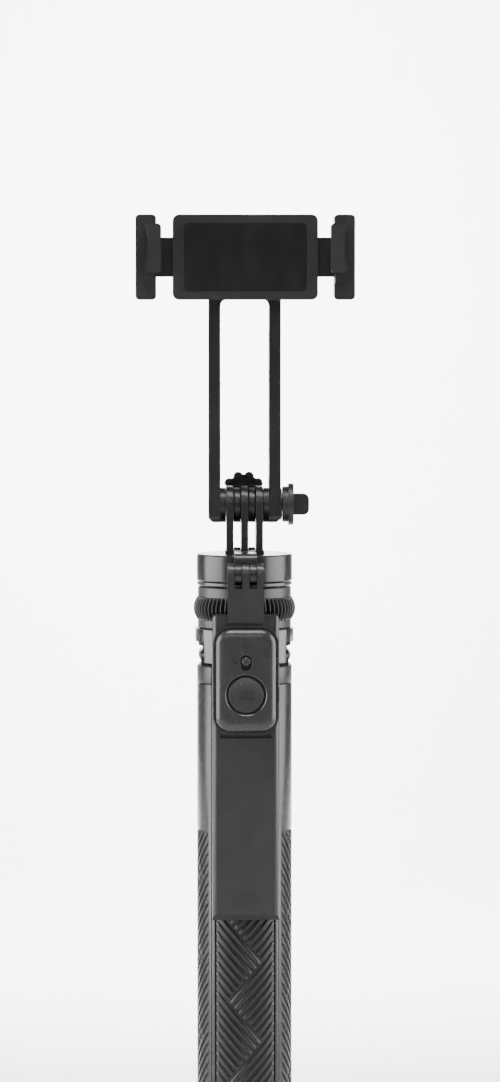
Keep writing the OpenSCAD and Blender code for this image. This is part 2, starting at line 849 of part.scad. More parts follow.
module clamp_springs() {
    coils = 16;
    pitch = 2.6;
    color("#b4b6b9") for (side = [-1, 1]) translate([-coils * pitch / 2, -13.5, clamp_z + side * spring_dz])
        rotate([0, 90, 0]) rotate_extrude($fn = 24) polygon(concat(
            [[0, 0]], [for (i = [0:2 * coils]) [i % 2 == 0 ? 1.5 : 2.1, i * pitch / 2]],
            [[0, coils * pitch]]));
}

// A jaw for the right-hand side; the left one is its mirror image.
module jaw() {
    block_corner = 1.6;
    tip = 1;
    waist_drop = 5;
    block_w = block_x[1] - block_x[0];
    difference() {
        union() {
            box([tongue_inner, block_x[0] + block_corner], tongue_y,
                [clamp_z - tongue_z_half, clamp_z + tongue_z_half]);
            facing_front(housing_y, clamp_z) translate([block_x[0] + block_w / 2, 0])
                polygon(rounded_rect(block_w, clamp_h, block_corner));
            facing_front([hook_y[0], housing_y[0] + 1], clamp_z) translate([phone_half, 0]) polygon([
                [-lip_reach, hook_z[0] + tip], [tip - lip_reach, hook_z[0]], [hook_out - tip, hook_z[0]],
                [hook_out, hook_z[0] + tip], [hook_waist, hook_z[0] + waist_drop],
                [hook_waist, hook_z[1] - waist_drop], [hook_out, hook_z[1] - tip],
                [hook_out - tip, hook_z[1]], [tip - lip_reach, hook_z[1]], [-lip_reach, hook_z[1] - tip]]);
            facing_front([hook_foot_y, housing_y[0] + 1], clamp_z) translate([phone_half, 0]) polygon([
                [hook_in, hook_foot_z], [hook_out - tip, hook_foot_z], [hook_out, hook_foot_z + tip],
                [hook_out, hook_z[1] - tip], [hook_out - tip, hook_z[1]], [hook_in, hook_z[1]]]);
        }
        box([phone_half - 1, phone_half + pad_t], [lip_y, hook_y[1]],
            [clamp_z + pad_z[0], clamp_z + pad_z[1]]);
        box([0, phone_half + hook_in + eps], [lip_y, hook_y[1] + eps], [clamp_z - 20, clamp_z + 20]);
        box([phone_half - 10, block_x[0]], [hook_y[1], housing_y[0] + 2], [clamp_z - 20, clamp_z + 20]);
    }
}

module jaw_pad() {
    ribs = 5;
    rib_gap = 0.6;
    pitch = (pad_z[1] - pad_z[0]) / (ribs + 1);
    difference() {
        box([phone_half, phone_half + pad_t], [lip_y, hook_y[1]], [clamp_z + pad_z[0], clamp_z + pad_z[1]]);
        for (i = [1:ribs]) box([phone_half - 1, phone_half + 0.3], [lip_y - 1, hook_y[1] + 1],
            [clamp_z + pad_z[0] + i * pitch - rib_gap / 2, clamp_z + pad_z[0] + i * pitch + rib_gap / 2]);
    }
}

module jaw_right() {
    color("#242527") jaw();
}

module jaw_left() {
    color("#242527") mirror([1, 0, 0]) jaw();
}

module jaw_right_pad() {
    color("#131315") jaw_pad();
}

module jaw_left_pad() {
    color("#131315") mirror([1, 0, 0]) jaw_pad();
}

crown();
crown_panels();
lock_collet();
leg_hinge_pins();
lock_collar();
lock_grip_band();
leg_head(front_dir);  // leg_head_front
leg_shell(front_dir);  // leg_shell_front
leg_grip(front_dir);  // leg_grip_front
leg_foot(front_dir);  // leg_foot_front
leg_head(left_dir);  // leg_head_left
leg_shell(left_dir);  // leg_shell_left
leg_grip(left_dir);  // leg_grip_left
leg_foot(left_dir);  // leg_foot_left
leg_head(right_dir);  // leg_head_right
leg_shell(right_dir);  // leg_shell_right
leg_grip(right_dir);  // leg_grip_right
leg_foot(right_dir);  // leg_foot_right
leg_head(back_dir);  // leg_head_back
leg_shell(back_dir);  // leg_shell_back
leg_grip(back_dir);  // leg_grip_back
leg_foot(back_dir);  // leg_foot_back
mast_tube(0);  // mast_tube_1
mast_flange_1();
mast_tail_plug();
mast_tube(1);  // mast_tube_2
mast_bushes(1);  // mast_bushes_2
mast_tube(2);  // mast_tube_3
mast_bushes(2);  // mast_bushes_3
mast_tube(3);  // mast_tube_4
mast_bushes(3);  // mast_bushes_4
mast_tube(4);  // mast_tube_5
mast_bush(4);  // mast_bush_5
cap();
top_bracket();
bracket_screws();
rear_knob();
arm_hinge_pin();
arm_plate();
arm_clip();
remote_front_shell();
remote_back_shell();
remote_board();
remote_battery();
remote_led();
shutter_button();
power_switch();
fork();
tilt_nut();
hub_spacers();
thumb_screw();
clamp_front_cover();
clamp_back_cover();
clamp_rubber_pad();
clamp_pivot();
clamp_springs();
jaw_left();
jaw_left_pad();
jaw_right();
jaw_right_pad();
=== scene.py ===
"""Looks of the selfie stick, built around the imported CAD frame.

Every length is in metres in the frame's own axes: +Z up the mast, front towards -Y.
Places come from the CAD nodes' boxes, so a piece lands where its node is.
"""

import json
import math

import bmesh
import bpy
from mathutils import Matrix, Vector


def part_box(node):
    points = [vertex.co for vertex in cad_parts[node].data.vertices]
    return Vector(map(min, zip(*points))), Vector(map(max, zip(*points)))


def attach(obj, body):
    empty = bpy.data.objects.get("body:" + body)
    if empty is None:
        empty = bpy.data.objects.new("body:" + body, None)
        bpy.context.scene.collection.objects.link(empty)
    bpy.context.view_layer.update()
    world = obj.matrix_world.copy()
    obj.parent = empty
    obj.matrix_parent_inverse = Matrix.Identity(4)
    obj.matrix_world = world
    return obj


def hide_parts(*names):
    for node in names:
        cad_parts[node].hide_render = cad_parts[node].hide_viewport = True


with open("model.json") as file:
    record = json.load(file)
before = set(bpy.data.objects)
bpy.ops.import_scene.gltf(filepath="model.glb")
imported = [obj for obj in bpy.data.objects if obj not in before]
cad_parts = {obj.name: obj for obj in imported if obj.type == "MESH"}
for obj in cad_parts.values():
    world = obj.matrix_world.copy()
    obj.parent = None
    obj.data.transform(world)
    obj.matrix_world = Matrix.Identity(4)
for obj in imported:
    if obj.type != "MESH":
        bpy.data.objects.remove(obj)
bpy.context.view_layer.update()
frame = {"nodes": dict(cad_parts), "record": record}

MM = 0.001
NODES = frame["nodes"]
SLOT_OF = {row["node"]: row["material_slot"] for row in frame["record"]["subparts"]}
BODY_OF = {node: body for body, names in frame["record"]["behaviour"]["bodies"].items() for node in names}
LEG_DIRECTIONS = {"front": -90, "right": 0, "back": 90, "left": 180}


# ---------------------------------------------------------------- materials


def new_material(name):
    """A material with its shader and the object coordinates that its textures use."""
    material = bpy.data.materials.new(name)
    material.use_nodes = True
    tree = material.node_tree
    shader = tree.nodes["Principled BSDF"]
    coords = tree.nodes.new("ShaderNodeTexCoord").outputs["Object"]
    return material, tree, shader, coords


def noise(tree, coords, size, detail=2.0, stretch=None):
    """Noise whose features are about `size` metres across; stretch scales them along X, Y and Z."""
    if stretch:
        mapping = tree.nodes.new("ShaderNodeMapping")
        mapping.inputs["Scale"].default_value = [1 / s for s in stretch]
        tree.links.new(coords, mapping.inputs["Vector"])
        coords = mapping.outputs["Vector"]
    texture = tree.nodes.new("ShaderNodeTexNoise")
    texture.inputs["Scale"].default_value = 1 / size
    texture.inputs["Detail"].default_value = detail
    tree.links.new(coords, texture.inputs["Vector"])
    return texture.outputs["Fac"]


def remap(tree, value, low, high, start=0.35, end=0.65):
    """Maps a noise value to the range low to high."""
    node = tree.nodes.new("ShaderNodeMapRange")
    node.inputs["From Min"].default_value = start
    node.inputs["From Max"].default_value = end
    node.inputs["To Min"].default_value = low
    node.inputs["To Max"].default_value = high
    tree.links.new(value, node.inputs["Value"])
    return node.outputs["Result"]


def tint(tree, value, dark, light):
    """Mixes two colours by a noise value."""
    ramp = tree.nodes.new("ShaderNodeValToRGB")
    ramp.color_ramp.elements[0].position = 0.35
    ramp.color_ramp.elements[1].position = 0.65
    ramp.color_ramp.elements[0].color = (*dark, 1)
    ramp.color_ramp.elements[1].color = (*light, 1)
    tree.links.new(value, ramp.inputs["Fac"])
    return ramp.outputs["Color"]


def bump(tree, shader, heights, strength=1.0):
    """Chains bumps, each a pair of a height value and its depth in metres."""
    normal = None
    for height, depth in heights:
        node = tree.nodes.new("ShaderNodeBump")
        node.inputs["Strength"].default_value = strength
        node.inputs["Distance"].default_value = depth
        tree.links.new(height, node.inputs["Height"])
        if normal:
            tree.links.new(normal, node.inputs["Normal"])
        normal = node.outputs["Normal"]
    tree.links.new(normal, shader.inputs["Normal"])


def moulded(name, colour, roughness, grain=0.3 * MM, depth=0.012 * MM, spread=0.10, specular=0.5):
    """Moulded plastic or rubber: a fine grain, soft blotches of sheen and a little colour variation."""
    material, tree, shader, coords = new_material(name)
    cloud = noise(tree, coords, 14 * MM, 3)
    smear = noise(tree, coords, 5 * MM, 4, stretch=(1, 1, 3))
    shades = [tuple(c * (1 + side * spread) for c in colour) for side in (-1, 1)]
    tree.links.new(tint(tree, cloud, *shades), shader.inputs["Base Color"])
    tree.links.new(remap(tree, smear, roughness - 0.03, roughness + 0.04), shader.inputs["Roughness"])
    shader.inputs["Specular IOR Level"].default_value = specular
    bump(tree, shader, [(noise(tree, coords, grain, 2), depth), (smear, depth * 0.25)])
    return material


def brushed(name, colour, roughness, along=(1, 1, 30)):
    """Drawn or brushed metal, its fine lines running along one axis."""
    material, tree, shader, coords = new_material(name)
    lines = noise(tree, coords, 0.25 * MM, 3, stretch=along)
    cloud = noise(tree, coords, 9 * MM, 2)
    shades = [tuple(c * k for c in colour) for k in (0.9, 1.08)]
    tree.links.new(tint(tree, lines, *shades), shader.inputs["Base Color"])
    tree.links.new(remap(tree, cloud, roughness - 0.06, roughness + 0.08), shader.inputs["Roughness"])
    shader.inputs["Metallic"].default_value = 1.0
    bump(tree, shader, [(lines, 0.004 * MM)])
    return material


def board_lacquer(name):
    """Green circuit board lacquer over a grid of copper tracks."""
    material, tree, shader, coords = new_material(name)
    tracks = tree.nodes.new("ShaderNodeTexBrick")
    tracks.inputs["Scale"].default_value = 1 / (2 * MM)
    tracks.inputs["Mortar Size"].default_value = 0.06
    tracks.inputs["Color1"].default_value = (0.012, 0.11, 0.04, 1)
    tracks.inputs["Color2"].default_value = (0.015, 0.13, 0.05, 1)
    tracks.inputs["Mortar"].default_value = (0.05, 0.22, 0.08, 1)
    upright = tree.nodes.new("ShaderNodeMapping")
    upright.inputs["Rotation"].default_value = (math.pi / 2, 0, 0)
    tree.links.new(coords, upright.inputs["Vector"])
    tree.links.new(upright.outputs["Vector"], tracks.inputs["Vector"])
    tree.links.new(tracks.outputs["Color"], shader.inputs["Base Color"])
    shader.inputs["Roughness"].default_value = 0.25
    bump(tree, shader, [(tracks.outputs["Fac"], 0.02 * MM)])
    return material


def lamp_lens(name):
    """Smoky lens of the status light, dark while the light is off."""
    material, tree, shader, coords = new_material(name)
    haze = noise(tree, coords, 0.3 * MM, 2)
    tree.links.new(tint(tree, haze, (0.010, 0.014, 0.03), (0.02, 0.028, 0.05)), shader.inputs["Base Color"])
    shader.inputs["Roughness"].default_value = 0.12
    shader.inputs["Transmission Weight"].default_value = 0.15
    return material


def grey(level):
    """A neutral colour, very slightly cool."""
    return (level, level * 1.01, level * 1.04)


MATERIALS = {
    "body_black": moulded("body_black", grey(0.014), 0.32),
    "leg_black": moulded("leg_black", grey(0.018), 0.26, grain=0.5 * MM, depth=0.006 * MM),
    "satin_grey": moulded("satin_grey", grey(0.11), 0.28, grain=0.5 * MM, depth=0.004 * MM),
    # dark_inner: the signs' print, and painted shade on the floors of the remote's button groove and switch
    # slot.
    "dark_inner": moulded("dark_inner", grey(0.006), 0.60, specular=0.3),
    "textured_black": moulded("textured_black", grey(0.024), 0.36, grain=0.45 * MM, depth=0.06 * MM),
    "rubber_black": moulded("rubber_black", grey(0.007), 0.34, grain=0.22 * MM, depth=0.006 * MM),
    "gloss_trim": moulded("gloss_trim", grey(0.05), 0.10, grain=1.2 * MM, depth=0.002 * MM),
    "tube_alloy": brushed("tube_alloy", (0.40, 0.41, 0.43), 0.32),
    "bush_white": moulded("bush_white", (0.62, 0.62, 0.58), 0.4),
    "cap_black": moulded("cap_black", grey(0.014), 0.22, grain=0.4 * MM, depth=0.005 * MM),
    "knob_black": moulded("knob_black", grey(0.016), 0.40),
    "arm_grey": moulded("arm_grey", grey(0.027), 0.32, grain=0.35 * MM, depth=0.010 * MM, spread=0.06),
    "remote_grey": moulded("remote_grey", grey(0.031), 0.26, grain=0.35 * MM, depth=0.008 * MM, spread=0.06),
    "button_grey": moulded("button_grey", grey(0.034), 0.26, grain=0.35 * MM, depth=0.006 * MM, spread=0.06),
    "clamp_black": moulded("clamp_black", grey(0.016), 0.42),
    "steel": brushed("steel", (0.52, 0.53, 0.55), 0.28, along=(30, 1, 1)),
    "board_green": board_lacquer("board_green"),
    "led_lens": lamp_lens("led_lens"),
}


# ---------------------------------------------------------------- mesh helpers


def mesh_object(name, vertices, faces, smooth=35):
    """A mesh object, its doubles merged and its normals outwards; edges past `smooth` degrees stay sharp."""
    mesh = bpy.data.meshes.new(name)
    mesh.from_pydata([tuple(v) for v in vertices], [], faces)
    work = bmesh.new()
    work.from_mesh(mesh)
    bmesh.ops.remove_doubles(work, verts=work.verts, dist=1e-7)
    bmesh.ops.recalc_face_normals(work, faces=work.faces)
    work.to_mesh(mesh)
    work.free()
    obj = bpy.data.objects.new(name, mesh)
    bpy.context.scene.collection.objects.link(obj)
    shade(obj, smooth)
    return obj


def shade(obj, smooth=35):
    """Smooth shading, with edges sharper than `smooth` degrees marked sharp."""
    mesh = obj.data
    mesh.polygons.foreach_set("use_smooth", [True] * len(mesh.polygons))
    mesh.set_sharp_from_angle(angle=math.radians(smooth))


def place(obj, node, *also, slot=None):
    """Puts a finished piece on its node's body with its node's material, and hides the node."""
    slot = slot or SLOT_OF[node]
    obj.data.materials.clear()
    obj.data.materials.append(MATERIALS[slot])
    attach(obj, BODY_OF[node])
    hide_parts(node, *also)
    return obj


def trim(obj, body, slot):
    """Puts a small extra piece, which replaces nothing, on a body."""
    obj.data.materials.clear()
    obj.data.materials.append(MATERIALS[slot])
    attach(obj, body)
    return obj


def lathe(name, profile, steps=144, smooth=35):
    """A closed profile of (radius, height) points, turned about the Z axis."""
    vertices, faces, count = [], [], len(profile)
    for i in range(steps):
        a = 2 * math.pi * i / steps
        vertices += [(r * math.cos(a), r * math.sin(a), z) for r, z in profile]
    for i in range(steps):
        for j in range(count):
            k, m = (i + 1) % steps, (j + 1) % count
            faces.append((i * count + j, k * count + j, k * count + m, i * count + m))
    return mesh_object(name, vertices, faces, smooth)


def arc(cx, cy, r, start, end, steps):
    """Points of an arc from start to end, in degrees."""
    angles = [math.radians(start + (end - start) * i / steps) for i in range(steps + 1)]
    return [(cx + r * math.cos(a), cy + r * math.sin(a)) for a in angles]


def rounded_rect(w, h, r, steps=8):
    """Outline of a rectangle with round corners, anticlockwise from the upper right corner."""
    x, z = w / 2 - r, h / 2 - r
    corners = [(x, z, 0), (-x, z, 90), (-x, -z, 180), (x, -z, 270)]
    return [p for cx, cz, a in corners for p in arc(cx, cz, r, a, a + 90, steps)]


def loft(name, loops, smooth=35):
    """A closed solid through loops of equal point count, with both ends filled."""
    count = len(loops[0])
    vertices = [p for loop in loops for p in loop]
    faces = [tuple(range(count)), tuple(reversed(range(len(vertices) - count, len(vertices))))]
    for i in range(len(loops) - 1):
        for j in range(count):
            k = (j + 1) % count
            faces.append((i * count + j, i * count + k, (i + 1) * count + k, (i + 1) * count + j))
    return mesh_object(name, vertices, faces, smooth)


def facing_loop(outline, y, x=0.0, z=0.0):
    """An (X, Z) outline as a loop at depth y."""
    return [(x + u, y, z + v) for u, v in outline]


def flat_faces_first(obj):
    """Lets large flat faces keep their own normals beside rounded edges."""
    weighted = obj.modifiers.new("normals", "WEIGHTED_NORMAL")
    weighted.keep_sharp = True
    weighted.weight = 100


def carve(obj, *tools):
    """Cuts closed tools out of obj and deletes them."""
    for tool in tools:
        cut = obj.modifiers.new("cut", "BOOLEAN")
        cut.operation = "DIFFERENCE"
        cut.solver = "EXACT"
        cut.object = tool
    result = bpy.data.meshes.new_from_object(obj.evaluated_get(bpy.context.evaluated_depsgraph_get()))
    obj.modifiers.clear()
    obj.data = result
    for tool in tools:
        bpy.data.objects.remove(tool)
    shade(obj)
    return obj


def turned_y(name, profile, x, z, steps=96, smooth=35):
    """A solid: a profile of (radius, y) points, turned about the line along Y through (x, z)."""
    angles = [2 * math.pi * i / steps for i in range(steps)]
    loops = [[(x + r * math.cos(a), y, z + r * math.sin(a)) for a in angles] for r, y in profile]
    return loft(name, loops, smooth)


def ring_y(name, profile, x, z, steps=96):
    """A closed profile of (radius, y) points, turned about a line along Y through (x, z)."""
    vertices, faces, count = [], [], len(profile)
    for i in range(steps):
        a = 2 * math.pi * i / steps
        vertices += [(x + r * math.cos(a), y, z + r * math.sin(a)) for r, y in profile]
        k = (i + 1) % steps
        faces += [(i * count + j, k * count + j, k * count + (j + 1) % count, i * count + (j + 1) % count)
                  for j in range(count)]
    return mesh_object(name, vertices, faces)


def tube_path(name, points, radius, closed=False, sides=8):
    """A thin round wire through points that lie in one plane facing -Y."""
    vertices, faces, count = [], [], len(points)
    for i, p in enumerate(points):
        before = points[i - 1] if closed or i else points[i]
        after = points[(i + 1) % count] if closed or i < count - 1 else points[i]
        along = (Vector(after) - Vector(before)).normalized()
        across = along.cross(Vector((0, 1, 0))).normalized()
        for s in range(sides):
            a = 2 * math.pi * s / sides
            vertices.append(Vector(p) + radius * (math.cos(a) * across + math.sin(a) * Vector((0, 1, 0))))
    spans = count if closed else count - 1
    for i in range(spans):
        for s in range(sides):
            k, t = (i + 1) % count, (s + 1) % sides
            faces.append((i * sides + s, i * sides + t, k * sides + t, k * sides + s))
    if not closed:
        faces += [tuple(range(sides)), tuple(reversed(range((count - 1) * sides, count * sides)))]
    return mesh_object(name, vertices, faces, 60)


def join(name, objects):
    """Joins objects' meshes into one object."""
    work = bmesh.new()
    for obj in objects:
        work.from_mesh(obj.data)
        bpy.data.objects.remove(obj)
    mesh = bpy.data.meshes.new(name)
    work.to_mesh(mesh)
    work.free()
    result = bpy.data.objects.new(name, mesh)
    bpy.context.scene.collection.objects.link(result)
    return result


# ---------------------------------------------------------------- stage


def camera():
    """The camera: a little left of the front, slightly above the middle, with a long lens."""
    data = bpy.data.cameras.new("camera")
    data.lens = 149
    data.sensor_width = 36
    data.clip_end = 20
    target = Vector((2.3 * MM, 0, 305 * MM))
    azimuth = math.radians(-1.3)
    distance, height = 1.84, 0.412
    obj = bpy.data.objects.new("camera", data)
    bpy.context.scene.collection.objects.link(obj)
    obj.location = (target.x + distance * math.sin(azimuth), -distance * math.cos(azimuth), height)
    obj.rotation_euler = (target - obj.location).to_track_quat("-Z", "Y").to_euler()
    bpy.context.scene.camera = obj


def light(name, kind, location, target, power, size=None, **settings):
    """A light that points at a target."""
    data = bpy.data.lights.new(name, kind)
    data.energy = power
    if size:
        data.shape = "RECTANGLE"
        data.size, data.size_y = size
    for key, value in settings.items():
        setattr(data, key, value)
    obj = bpy.data.objects.new(name, data)
    bpy.context.scene.collection.objects.link(obj)
    obj.location = location
    obj.rotation_euler = (Vector(target) - Vector(location)).to_track_quat("-Z", "Y").to_euler()


def stage():
    """A seamless pale floor that rises into a wall, clear from behind, with soft lights around the object."""
    reach, bend_start, bend, wall_top = 12, 1.2, 0.8, 4.0
    outline = [(-reach, 0), (bend_start, 0), *arc(bend_start, bend, bend, -90, 0, 12)[1:],
               (bend_start + bend, wall_top)]
    vertices = [(x, y, z) for y, z in outline for x in (-reach, reach)]
    faces = [(2 * i, 2 * i + 1, 2 * i + 3, 2 * i + 2) for i in range(len(outline) - 1)]
    sweep = mesh_object("sweep", vertices, faces, 60)
    if sweep.data.polygons[0].normal.z < 0:
        sweep.data.flip_normals()
    material, tree, shader, coords = new_material("sweep_paper")
    paper = noise(tree, coords, 0.02, 2)
    tree.links.new(tint(tree, paper, (0.92, 0.92, 0.92), (0.94, 0.94, 0.94)), shader.inputs["Base Color"])
    shader.inputs["Roughness"].default_value = 0.9
    shader.inputs["Specular IOR Level"].default_value = 0.1
    clear, blend = tree.nodes.new("ShaderNodeBsdfTransparent"), tree.nodes.new("ShaderNodeMixShader")
    behind = tree.nodes.new("ShaderNodeNewGeometry").outputs["Backfacing"]
    tree.links.new(behind, blend.inputs["Fac"])
    tree.links.new(shader.outputs["BSDF"], blend.inputs[1])
    tree.links.new(clear.outputs["BSDF"], blend.inputs[2])
    tree.links.new(blend.outputs["Shader"], tree.nodes["Material Output"].inputs["Surface"])
    sweep.data.materials.append(material)
    world = bpy.data.worlds.new("world")
    bpy.context.scene.world = world
    world.use_nodes = True
    world.node_tree.nodes["Background"].inputs["Color"].default_value = (1, 1, 1, 1)
    world.node_tree.nodes["Background"].inputs["Strength"].default_value = 0.1
    middle = (0, 0, 0.27)
    for name, side, power in (("left_box", -1, 13), ("right_box", 1, 11)):
        light(name, "AREA", (side * 0.85, -0.11, 0.32), middle, power, (0.92, 1.2), spread=math.radians(120))
    light("top_soft", "AREA", (0, -0.35, 1.5), middle, 16, (0.8, 0.5))
    light("front_fill", "AREA", (-0.3, -1.7, 1.3), middle, 5, (1.2, 0.6))
    soft = {"spot_blend": 1.0, "shadow_soft_size": 0.3}
    light("wall_spot", "SPOT", (0, 0.5, 1.9), (0, 2.0, 0.35), 1500, spot_size=math.radians(42), **soft)
    light("floor_spot", "SPOT", (0, 0.7, 1.9), (0, 1.0, 0.0), 1100, spot_size=math.radians(48), **soft)


# ---------------------------------------------------------------- pieces


def softened(node, width, segments=3, angle=30):
    """Rounds a CAD node's edges with modifiers, and gives it its material."""
    obj = NODES[node]
    obj.data.materials.clear()
    obj.data.materials.append(MATERIALS[SLOT_OF[node]])
    weld = obj.modifiers.new("weld", "WELD")
    weld.merge_threshold = 2e-6
    bevel = obj.modifiers.new("bevel", "BEVEL")
    bevel.width = width
    bevel.segments = segments
    bevel.limit_method = "ANGLE"
    bevel.angle_limit = math.radians(angle)
    bevel.harden_normals = True
    bevel.miter_outer = "MITER_ARC"


EDGE = 0.15 * MM
EDGE_OF = {
    "fork": 0.9 * MM, "top_bracket": 0.3 * MM, "rear_knob": 0.4 * MM, "thumb_screw": 0.35 * MM,
    "clamp_front_cover": 0.5 * MM, "clamp_back_cover": 0.4 * MM, "jaw_left": 0.5 * MM, "jaw_right": 0.5 * MM,
    "arm_plate": 0.25 * MM, "crown": 0.2 * MM, "hub_spacers": 0.3 * MM,
}


def zigzag_grip(leg):
    """The rubber panel of one leg: slanted ribs that meet along a zigzag line down its middle."""
    node = "leg_grip_" + leg
    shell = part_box("leg_shell_" + leg)
    low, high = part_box(node)
    bottom, top = low.z, high.z
    radius = max(abs(c) for corner in shell for c in corner.xy)
    rib_height, panel_depth = 0.6 * MM, 1.5 * MM
    columns = 28
    floor = radius - rib_height
    half_angle = math.radians(39.4)
    reach = floor * half_angle - 0.5 * MM
    direction = math.radians(LEG_DIRECTIONS[leg])

    def at(u, v, h):
        """The point at arc length u from the leg's middle, height v, raised by h."""
        a = direction + u / floor
        return ((floor + h) * math.cos(a), (floor + h) * math.sin(a), v)

    vertices, faces = [], []
    rims = [(floor, bottom), (floor, top), (radius - panel_depth, top), (radius - panel_depth, bottom)]
    for i in range(columns + 1):
        a = direction - half_angle + 2 * half_angle * i / columns
        vertices += [(r * math.cos(a), r * math.sin(a), z) for r, z in rims]
    for i in range(columns):
        faces += [(4 * i + j, 4 * i + 4 + j, 4 * i + 4 + (j + 1) % 4, 4 * i + (j + 1) % 4) for j in range(4)]
    faces += [(0, 1, 2, 3), tuple(4 * columns + j for j in (3, 2, 1, 0))]

    period, swing, ribs_per_period = 33 * MM, 7.2 * MM, 8
    slope = period / 2 / (2 * swing)
    rise = period / ribs_per_period
    corner = 116.5 * MM
    section = [(-0.85, -0.2), (-0.78, 0.3), (-0.45, 0.56), (0, 0.6), (0.45, 0.56), (0.78, 0.3), (0.85, -0.2)]
    section = [(w * MM, h * MM) for w, h in section]
    length = math.hypot(1, slope)
    along, across = (1 / length, -slope / length), (slope / length, 1 / length)
    margin, line_gap, shortest = 1.1 * MM, 0.35 * MM, 1.2 * MM
    nose, nose_size, station_gap = 0.55 * MM, 0.55, 1.6 * MM

    def rib(start, end, mirrored):
        """One rib between two (u, v) points, its ends sloping down."""
        total = math.dist(start, end)
        steps = max(2, round(total / station_gap))
        stations = [(0, nose_size), (nose, 1)]
        stations += [(nose + (total - 2 * nose) * i / steps, 1) for i in range(1, steps)]
        stations += [(total - nose, 1), (total, nose_size)]
        first = len(vertices)
        for s, size in stations:
            u, v = start[0] + along[0] * s, start[1] + along[1] * s
            for w, h in section:
                height = h if h < 0 else h * size ** 2
                point = (u + across[0] * w * size, v + across[1] * w * size)
                vertices.append(at(-point[0] if mirrored else point[0], point[1], height))
        n = len(section)
        for i in range(len(stations) - 1):
            for j in range(n):
                k = (j + 1) % n
                a, b = first + i * n, first + (i + 1) * n
                faces.append((a + j, b + j, b + k, a + k))
        last = first + (len(stations) - 1) * n
        faces.append(tuple(range(first, first + n)))
        faces.append(tuple(reversed(range(last, last + n))))

    for mirrored, shift in ((False, 0), (True, period / 2)):
        for k in range(-5, 5):
            for j in range(ribs_per_period):
                c = corner - slope * swing + (j + 0.5) * rise
                u_end = (c - corner - slope * swing) / (2 * slope) - line_gap
                lift = k * period + shift
                start = [-reach, c + slope * reach + lift]
                end = [u_end, c - slope * u_end + lift]
                if start[1] > top - margin:
                    start = [start[0] + (start[1] - top + margin) / slope, top - margin]
                if end[1] < bottom + margin:
                    end = [end[0] - (bottom + margin - end[1]) / slope, bottom + margin]
                if end[0] - start[0] > shortest:
                    rib(start, end, mirrored)
    place(mesh_object("zigzag_grip_" + leg, vertices, faces, 40), node)


def knurled_band():
    """The lock ring's rubber band: a bulge with upright ribs that fade out at its rims."""
    low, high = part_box("lock_grip_band")
    crest = high.x
    seat = 18 * MM
    edge_drop, groove, ribs, per_rib = 1.6 * MM, 1.3 * MM, 62, 12
    rows = 18
    vertices, faces = [], []
    count = rows + 3
    for i in range(ribs * per_rib):
        a = 2 * math.pi * i / (ribs * per_rib)
        wave = 0.5 - 0.5 * math.cos(ribs * a)
        hollow = groove * (1 - wave ** 0.75)
        ring = [(seat, low.z)]
        for j in range(rows + 1):
            t = 2 * j / rows - 1
            fade = 1 - abs(t) ** 6
            ring.append((crest - edge_drop * t * t - hollow * fade, low.z + (high.z - low.z) * j / rows))
        ring.append((seat, high.z))
        vertices += [(r * math.cos(a), r * math.sin(a), z) for r, z in ring]
    total = ribs * per_rib
    for i in range(total):
        for j in range(count):
            k, m = (i + 1) % total, (j + 1) % count
            faces.append((i * count + j, k * count + j, k * count + m, i * count + m))
    place(mesh_object("knurled_band", vertices, faces, 50), "lock_grip_band")


def crown_skins():
    """The four smooth panels that cover the crown between its leg slots."""
    low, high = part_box("crown")
    inner, outer, round_off, rim_gap = 19.15 * MM, 20.35 * MM, 0.35 * MM, 0.1 * MM
    steps, tuck_start = 16, 0.97
    wide, narrow = math.radians(14.2), math.radians(10.6)
    vertices, faces = [], []
    bottom, top = low.z + rim_gap, high.z - rim_gap
    profile = [(inner, bottom), (inner, top),
               *arc(outer - round_off, top - round_off, round_off, 90, 0, 4),
               *arc(outer - round_off, bottom + round_off, round_off, 0, -90, 4)]
    count = len(profile)
    for quadrant in (45, 135, 225, 315):
        first = len(vertices)
        for i in range(steps + 1):
            side = 2 * i / steps - 1
            tuck = round_off * max(0, abs(side) - tuck_start) / (1 - tuck_start)
            for r, z in profile:
                half = narrow + (wide - narrow) * (z - bottom) / (top - bottom)
                a = math.radians(quadrant) + half * side
                vertices.append(((r - tuck) * math.cos(a), (r - tuck) * math.sin(a), z))
        for i in range(steps):
            for j in range(count):
                k = (j + 1) % count
                a, b = first + i * count, first + (i + 1) * count
                faces.append((a + j, b + j, b + k, a + k))
        last = first + steps * count
        faces += [tuple(range(first, first + count)), tuple(reversed(range(last, last + count)))]
    place(mesh_object("crown_skins", vertices, faces, 40), "crown_panels")


